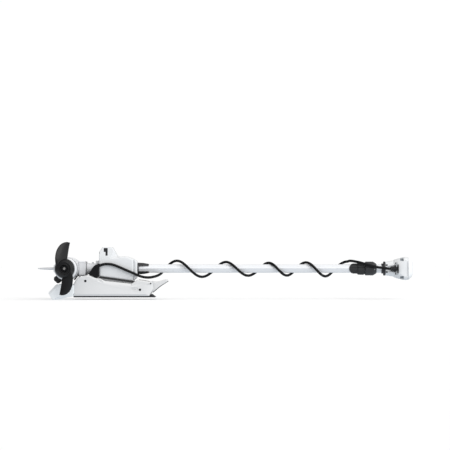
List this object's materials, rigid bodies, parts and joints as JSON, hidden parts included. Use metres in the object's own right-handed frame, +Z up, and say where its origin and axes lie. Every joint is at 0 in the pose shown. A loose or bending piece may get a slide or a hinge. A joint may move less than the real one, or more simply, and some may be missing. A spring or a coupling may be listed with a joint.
{
  "type": "trolling motor",
  "caption": "Bow-mount electric outboard stowed flat on its deck mount: tilting arm and steering housing, sliding shaft with coiled cable, propulsion unit with propeller, foot pedal release.",
  "frame": {"origin": "middle of the deck gasket's underside, on the deck", "axes": "+X along the shaft from the bow end to the control head, +Z up from the deck, -Y the propeller side"},
  "size_m": [1.872, 0.4219, 0.2844],
  "materials": {
    "white_paint": "gloss white paint",
    "white_plastic": "smooth white moulding",
    "pale_plastic": "satin cool grey moulding",
    "black_plastic": "satin black moulding",
    "black_composite": "glass-filled nylon",
    "black_rubber": "moulded rubber",
    "cable_jacket": "smooth cable jacket",
    "steel": "stainless steel",
    "aluminium": "anodised aluminium",
    "bronze": "sintered bronze",
    "circuit": "green circuit board",
    "dark_window": "smoked window"
  },
  "bodies": {
    "mount": {"deck_gasket": "black_rubber", "base_frame": "white_paint", "nose_ramp": "pale_plastic", "rear_foot": "black_rubber", "side_cover_near": "white_plastic", "side_cover_far": "white_plastic", "rest_pad_near": "black_rubber", "rest_pad_far": "black_rubber", "bow_cover_bolt_near": "steel", "bow_cover_bolt_far": "steel", "rear_cover_bolt_near": "steel", "rear_cover_bolt_far": "steel", "pivot_pin": "steel", "pedal_pin": "steel", "latch_pin": "steel", "pedal_spring": "steel"},
    "pedal": {"foot_pedal": "white_plastic"},
    "rod": {"release_rod": "steel"},
    "latch": {"latch_hook": "steel"},
    "tilt_arm": {"tilt_arm": "aluminium", "housing_near": "white_plastic", "housing_far": "white_plastic", "housing_end_cap": "white_plastic", "housing_seal": "black_rubber", "status_window": "dark_window", "cable_boot": "black_rubber", "stow_sensor": "white_plastic", "bow_bush": "bronze", "rear_bush": "bronze", "steer_motor": "steel", "control_board": "circuit", "cable_lead": "cable_jacket"},
    "pinion": {"steer_pinion": "steel"},
    "steering": {"steering_sleeve": "white_plastic", "steering_gear": "bronze", "exit_clamp": "black_plastic", "cable_coil": "cable_jacket"},
    "shaft": {"shaft_tube": "white_plastic", "collar_cuff": "black_rubber", "depth_collar": "black_plastic", "motor_casing": "white_paint", "end_bell": "white_paint", "nose_cone": "white_paint", "motor_neck": "white_paint", "skeg": "white_plastic", "landing_shoe": "black_rubber", "stator": "steel", "head_flange": "black_plastic", "head_shell": "white_plastic", "head_cap": "white_plastic", "cable_gland": "black_rubber", "head_screw_upper": "steel", "head_screw_lower": "steel", "head_board": "circuit", "cable_head_lead": "cable_jacket"},
    "lever": {"collar_clamp_lever": "black_plastic"},
    "propeller": {"propeller": "black_composite", "propeller_nut": "steel", "drive_pin": "steel", "armature": "steel"}
  },
  "joints": [
    {"name": "deploy_tilt", "type": "hinge", "parent": "mount", "child": "tilt_arm", "pos_m": [-0.28, 0, 0.025], "axis": [0, -1, 0], "range_deg": [0, 90]},
    {"name": "steering", "type": "hinge", "parent": "tilt_arm", "child": "steering", "pos_m": [0, 0, 0.1424], "axis": [1, 0, 0], "range_deg": [0, 90]},
    {"name": "steer_pinion_spin", "type": "hinge", "parent": "tilt_arm", "child": "pinion", "pos_m": [0.011, 0, 0.1892], "axis": [1, 0, 0], "range_deg": [-300, 0]},
    {"name": "shaft_slide", "type": "slide", "parent": "steering", "child": "shaft", "axis": [-1, 0, 0], "range_m": [0, 0.7], "deforming": ["cable_coil"]},
    {"name": "propeller_spin", "type": "hinge", "parent": "shaft", "child": "propeller", "pos_m": [-0.2184, 0, 0.1424], "axis": [0, 1, 0], "continuous": true},
    {"name": "collar_lever", "type": "hinge", "parent": "shaft", "child": "lever", "pos_m": [1.288, 0.0425, 0.1254], "axis": [-1, 0, 0], "range_deg": [0, 90]},
    {"name": "foot_pedal", "type": "hinge", "parent": "mount", "child": "pedal", "pos_m": [0.1994, 0, 0.0697], "axis": [0, 1, 0], "range_deg": [0, 20], "stiffness_Nm_per_rad": 6, "springref_deg": -20.05},
    {"name": "release_rod_slide", "type": "slide", "parent": "mount", "child": "rod", "axis": [-1, 0, 0], "range_m": [0, 0.0155]},
    {"name": "latch_release", "type": "hinge", "parent": "mount", "child": "latch", "pos_m": [0.15, 0, 0.048], "axis": [0, 1, 0], "range_deg": [0, 42]}
  ],
  "couplings": [
    {"joint": "steering", "follows": "shaft_slide", "rad_per_m": 2.2439},
    {"joint": "steer_pinion_spin", "follows": "shaft_slide", "rad_per_m": -7.4797},
    {"joint": "release_rod_slide", "follows": "foot_pedal", "m_per_rad": 0.0427},
    {"joint": "latch_release", "follows": "foot_pedal", "ratio": 2.03}
  ]
}
